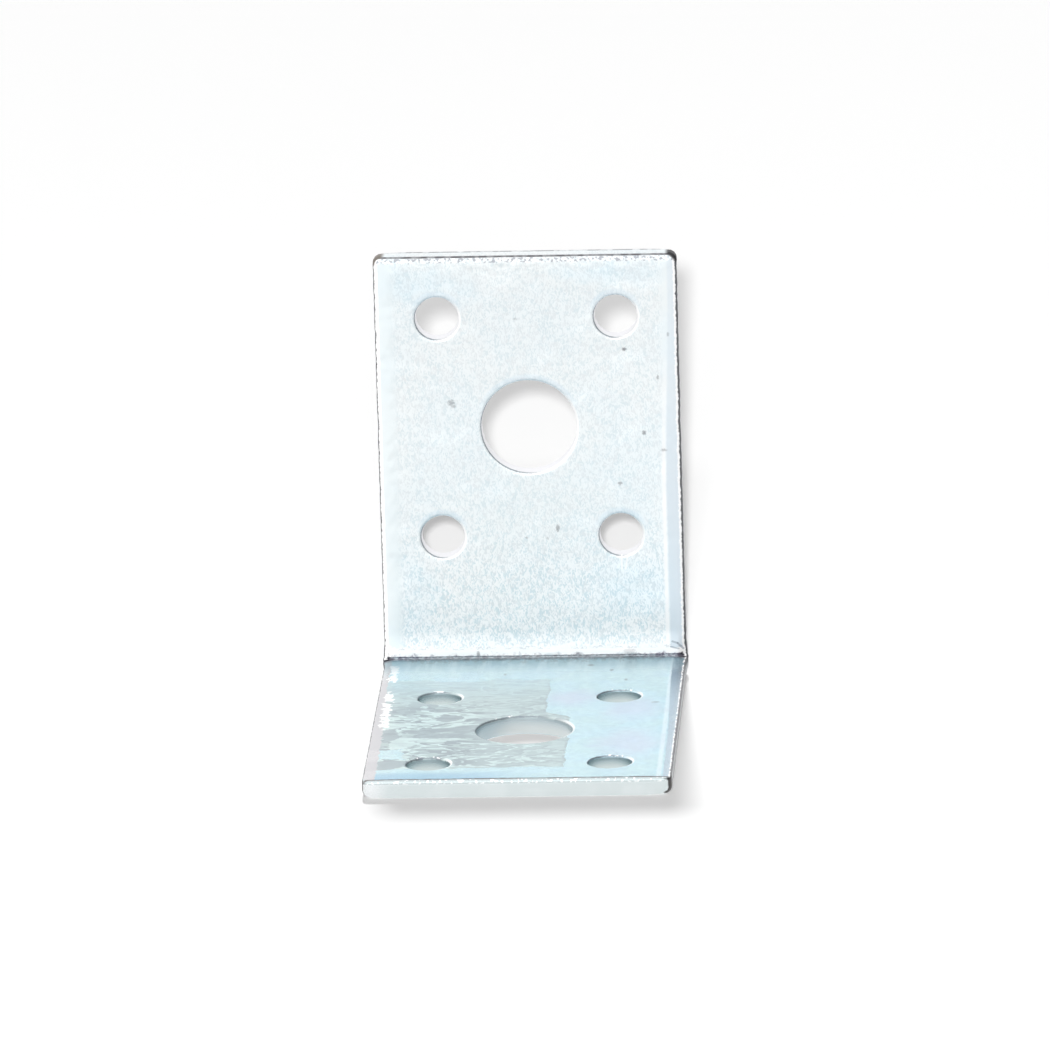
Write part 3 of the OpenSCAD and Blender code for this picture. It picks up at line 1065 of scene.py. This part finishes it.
# %% [markdown]
# ## The studio
# The bracket stands on a white table in a white tent. A pale mirror is only as bright as what it
# mirrors: the upper part of the upright leg mirrors the table, and its foot and the base leg mirror the
# tent, low in front. So table and tent show their full white to a mirror. What they send to the table as
# light is less, so that the lamps still have a shadow to draw.
#
# A Light Path node tells which ray is asking. Is Glossy Ray picks the rays that come from a mirror, and
# Diffuse Depth leaves out those that met a matt surface earlier, because they would carry the white to
# the table after all.

# %% White table
table_half = 6.0
table_glow = 1.04
table_grey = (0.8, 0.8, 0.8, 1.0)
plain_white = (1.0, 1.0, 1.0, 1.0)


def first_mirror(rays):
    """1 for a ray that a mirror sent out and that met no matt surface before it."""
    no_matt_before = calc("LESS_THAN", rays.outputs["Diffuse Depth"], 0.5)
    return times(no_matt_before, rays.outputs["Is Glossy Ray"])


corners = [(-table_half, -table_half, 0), (table_half, -table_half, 0),
           (table_half, table_half, 0), (-table_half, table_half, 0)]
table_mesh = bpy.data.meshes.new("white_table")
table_mesh.from_pydata(corners, [], [(0, 1, 2, 3)])
table = bpy.data.objects.new("white_table", table_mesh)
bpy.context.scene.collection.objects.link(table)
table_paint = bpy.data.materials.new("table_paint")
table_paint.use_nodes = True
paint = table_paint.node_tree
paint.nodes.clear()
rays = add(paint, "ShaderNodeLightPath")
to_mirror = first_mirror(rays)
painted = laid_over(rays.outputs["Is Camera Ray"], table_grey, plain_white)
matt = add(paint, "ShaderNodeBsdfDiffuse", {"Color": painted})
full = add(paint, "ShaderNodeEmission", {"Color": plain_white, "Strength": table_glow})
both = add(paint, "ShaderNodeMixShader", {0: to_mirror, 1: matt.outputs[0], 2: full.outputs[0]})
add(paint, "ShaderNodeOutputMaterial", {"Surface": both.outputs[0]})
table_mesh.materials.append(table_paint)
print("The table is", 2 * table_half, "metres wide")

# %% [markdown]
# The tent isn't equally bright all round. It is brightest low in front, where the two legs mirror it,
# and it darkens towards the right, which helps the painted shade and highlights draw the cut sides and
# the rims of the holes. A plain white World would make the zinc as flat as paper.

# %% White tent
tent_glow = 1.2
glow_in_front = 1.5
glow_low_in_front = 2.1
left_at_dark_side = 0.35
light_on_table = 0.01
dark_side = (0.97, -0.1, -0.1)
world = bpy.data.worlds.new("white_tent")
world.use_nodes = True
bpy.context.scene.world = world
world.cycles.sampling_method = "NONE"
tent = world.node_tree
tent.nodes.clear()
way = add(tent, "ShaderNodeTexCoord").outputs["Generated"]
to_dark = add(tent, "ShaderNodeVectorMath", {0: way, 1: dark_side}, operation="DOT_PRODUCT")
parts = add(tent, "ShaderNodeSeparateXYZ", {0: way})
in_front = ramp(times(parts.outputs[1], -1.0), 0.5, 0.85)
front_glow = ramp(parts.outputs[2], 0.1, 0.25, glow_low_in_front, glow_in_front)
glow = add(tent, "ShaderNodeMix", {0: in_front, 2: tent_glow, 3: front_glow}).outputs[0]
mirrored = times(ramp(to_dark.outputs["Value"], 0.3, 0.9, 1.0, left_at_dark_side), glow)
rays = add(tent, "ShaderNodeLightPath")
strength = times(mirrored, ramp(first_mirror(rays), 0.0, 1.0, light_on_table, 1.0))
strength = calc("MAXIMUM", strength, rays.outputs["Is Camera Ray"])
shade = add(tent, "ShaderNodeBackground", {"Color": plain_white, "Strength": strength})
add(tent, "ShaderNodeOutputWorld", {"Surface": shade.outputs[0]})
print("The tent is dark towards", dark_side)

# %% [markdown]
# ## Five lamps
# A first, faint lamp gives the whole scene a trace of direction. The other four draw the shadow on the
# table. One shines from behind and lays it in front of the base leg, and two shine from the front, one
# of them wide, and soften it behind the bracket. The last is small and stands beside the camera, a
# little to its left, so that its shadow peeps out on the right of the upright leg and through its holes.
# These four would over-light the zinc, so light linking lets them reach the table alone.

# %% Lamps
def direction(azimuth, elevation):
    """The way to a place azimuth degrees to the right of the front and elevation degrees up:
    sine and cosine of the azimuth, shortened by the elevation's cosine, with its sine as the height."""
    turn, rise = math.radians(azimuth), math.radians(elevation)
    return np.array([math.sin(turn) * math.cos(rise), -math.cos(turn) * math.cos(rise), math.sin(rise)])


def sun_lamp(name, azimuth, elevation, energy, width):
    """A distant lamp in that direction. Its width in degrees gives the softness of its shadows."""
    data = bpy.data.lights.new(name, "SUN")
    data.energy = energy
    data.angle = math.radians(width)
    lamp = bpy.data.objects.new(name, data)
    lamp.rotation_euler = (math.radians(90 - elevation), 0, math.radians(azimuth))
    bpy.context.scene.collection.objects.link(lamp)
    return lamp


sun_lamp("soft_lamp", -40.0, 50.0, 0.02, 60.0)
wide_lamp = sun_lamp("wide_lamp", 2.4, 18.0, 0.71, 10.0)
back_lamp = sun_lamp("back_lamp", -177.5, 42.3, 2.12, 4.0)
low_lamp = sun_lamp("low_lamp", 1.2, 30.0, 0.72, 4.0)
print("The front lies towards", np.round(direction(0.0, 0.0), 3))

# %% [markdown]
# A real lamp's light thins out with distance. A Light Falloff node set to Constant keeps this one even
# all over the table, as the photograph's white ground is.

# %% Small lamp beside the camera
stand_off = 1.7
middle_height = 0.025
front = bpy.data.lights.new("front_lamp", "POINT")
front.energy = 52.0
front.shadow_soft_size = 0.0135
front.use_nodes = True
glow_tree = front.node_tree
glow_tree.nodes.clear()
even = add(glow_tree, "ShaderNodeLightFalloff", {"Strength": 1.0}).outputs["Constant"]
shining = add(glow_tree, "ShaderNodeEmission", {"Strength": even})
add(glow_tree, "ShaderNodeOutputLight", {"Surface": shining.outputs[0]})
front_lamp = bpy.data.objects.new("front_lamp", front)
front_lamp.location = [0.0, 0.0, middle_height] + stand_off * direction(2.64, 16.52)
bpy.context.scene.collection.objects.link(front_lamp)
lit_by_them = bpy.data.collections.new("lit_by_shadow_lamps")
lit_by_them.objects.link(table)
for lamp in (front_lamp, back_lamp, low_lamp, wide_lamp):
    lamp.light_linking.receiver_collection = lit_by_them

# %% [markdown]
# ## The camera
# The photograph was taken with a long lens from a little above and very slightly to the right, so the
# legs hardly narrow with distance. The camera circles a point in the middle of the bracket: azimuth is
# its turn to the right, elevation its rise, and roll its tilt about the line of sight.

# %% Camera
azimuth, elevation, roll = 3.09, 15.82, math.radians(-1.64)
distance = 1.7
aim = np.array([0.00046, 0.0, 0.02475])
back = direction(azimuth, elevation)
level = np.array([math.cos(math.radians(azimuth)), math.sin(math.radians(azimuth)), 0.0])
upward = np.cross(back, level)
right = math.cos(roll) * level + math.sin(roll) * upward
above = math.cos(roll) * upward - math.sin(roll) * level
lens = bpy.data.cameras.new("long_lens")
lens.sensor_width = 36.0
lens.lens = 511.8
lens.clip_end = 100.0
camera = bpy.data.objects.new("camera", lens)
bpy.context.scene.collection.objects.link(camera)
camera.matrix_world = Matrix([
    [*pair, place] for *pair, place in zip(right, above, back, aim + distance * back)
] + [[0, 0, 0, 1]])
bpy.context.scene.camera = camera
bpy.context.scene.view_settings.view_transform = "Standard"
print("Camera at", np.round(aim + distance * back, 3))
